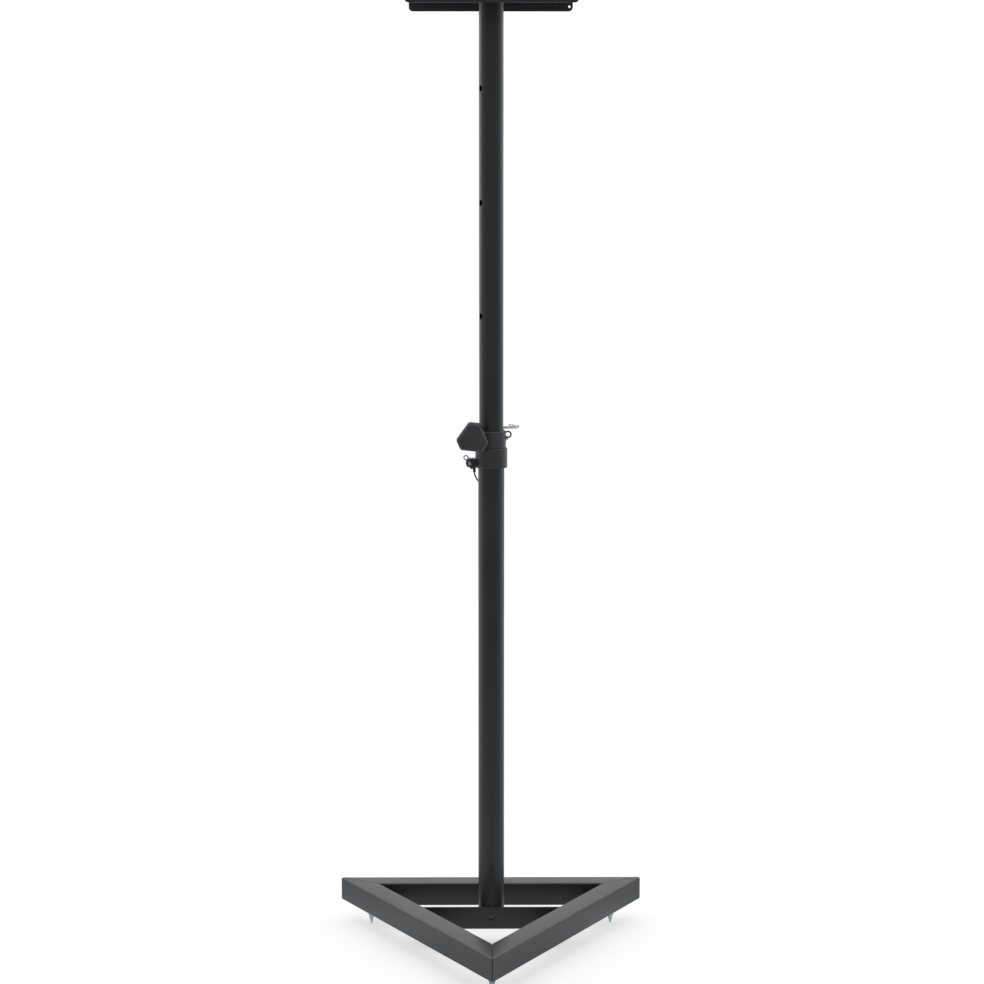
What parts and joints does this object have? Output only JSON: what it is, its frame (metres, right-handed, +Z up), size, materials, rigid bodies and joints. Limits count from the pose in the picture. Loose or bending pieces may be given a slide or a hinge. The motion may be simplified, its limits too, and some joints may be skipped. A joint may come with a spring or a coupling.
{
  "type": "speaker stand",
  "caption": "Speaker stand: mitred triangular tube base on spikes, telescopic pole with clamp knob and locking pin, folded top plate with fixing holes.",
  "frame": {"origin": "on the floor, at the centre of the base's bounding rectangle", "axes": "+Z up, +X to the right, -Y towards the front corner of the base; the pole axis is at y = 0.0664 m"},
  "size_m": [0.46, 0.3984, 1.3922],
  "materials": {
    "powder_coat": "satin black powder coat",
    "cast_collar": "black coated casting",
    "moulded_plastic": "black moulded nylon",
    "zinc_steel": "zinc plated",
    "black_steel": "black oxide",
    "plated_steel": "bright plated",
    "brass": "turned",
    "mat_rubber": "fine grained",
    "cord_sheath": "braided"
  },
  "bodies": {
    "base": {"base_tube_rear": "powder_coat", "base_tube_left": "powder_coat", "base_tube_right": "powder_coat", "weld_boss_right": "zinc_steel", "weld_boss_left": "zinc_steel", "weld_boss_front": "zinc_steel", "lock_nut_right": "zinc_steel", "lock_nut_left": "zinc_steel", "lock_nut_front": "zinc_steel", "lanyard_lug": "black_steel", "lanyard_eye": "cast_collar", "lanyard_end": "plated_steel", "lanyard_cord": "cord_sheath", "cross_bracket": "powder_coat", "pole_foot_plug": "zinc_steel", "foot_bolt": "black_steel", "side_screw": "black_steel", "lower_tube": "powder_coat", "collar": "cast_collar", "collar_bush": "moulded_plastic", "clamp_bolt": "zinc_steel", "clamp_nut": "black_steel", "stud_insert": "brass"},
    "end_glide": {"end_glide": "moulded_plastic"},
    "upper": {"upper_tube": "powder_coat", "top_plug": "zinc_steel", "top_plate": "powder_coat", "plate_screw_1": "zinc_steel", "plate_screw_2": "zinc_steel", "plate_screw_3": "zinc_steel", "plate_mat": "mat_rubber"},
    "pin": {"locking_pin": "plated_steel"},
    "ring": {"pull_ring": "plated_steel"},
    "thrust": {"thrust_washer": "zinc_steel"},
    "knob": {"knob_stud": "zinc_steel", "clamp_knob": "moulded_plastic"},
    "spike_right": {"spike_right": "zinc_steel"},
    "spike_left": {"spike_left": "zinc_steel"},
    "spike_front": {"spike_front": "zinc_steel"}
  },
  "joints": [
    {"name": "height_slide", "type": "slide", "parent": "base", "child": "end_glide", "axis": [0, 0, 1], "range_m": [0, 0.162]},
    {"name": "swivel", "type": "hinge", "parent": "end_glide", "child": "upper", "pos_m": [0, 0.06639, 0.8], "axis": [0, 0, 1], "range_deg": [-90, 90]},
    {"name": "pin_pull", "type": "slide", "parent": "upper", "child": "pin", "axis": [0.8829, 0.4695, 0], "range_m": [0, 0.045]},
    {"name": "ring_swing", "type": "hinge", "parent": "pin", "child": "ring", "pos_m": [0.03664, 0.08588, 0.7747], "axis": [-0.4695, 0.8829, 0], "range_deg": [0, 255]},
    {"name": "clamp_travel", "type": "slide", "parent": "base", "child": "thrust", "axis": [0, -1, 0], "range_m": [0, 0.00125]},
    {"name": "knob_turn", "type": "hinge", "parent": "thrust", "child": "knob", "pos_m": [-0.0269, 0.06639, 0.7629], "axis": [0, -1, 0], "range_deg": [0, 360]},
    {"name": "spike_right_level", "type": "slide", "parent": "base", "child": "spike_right", "axis": [0, 0, -1], "range_m": [0, 0.006]},
    {"name": "spike_left_level", "type": "slide", "parent": "base", "child": "spike_left", "axis": [0, 0, -1], "range_m": [0, 0.006]},
    {"name": "spike_front_level", "type": "slide", "parent": "base", "child": "spike_front", "axis": [0, 0, -1], "range_m": [0, 0.006]}
  ],
  "couplings": [
    {"joint": "clamp_travel", "follows": "knob_turn", "m_per_rad": 0.00019894}
  ]
}
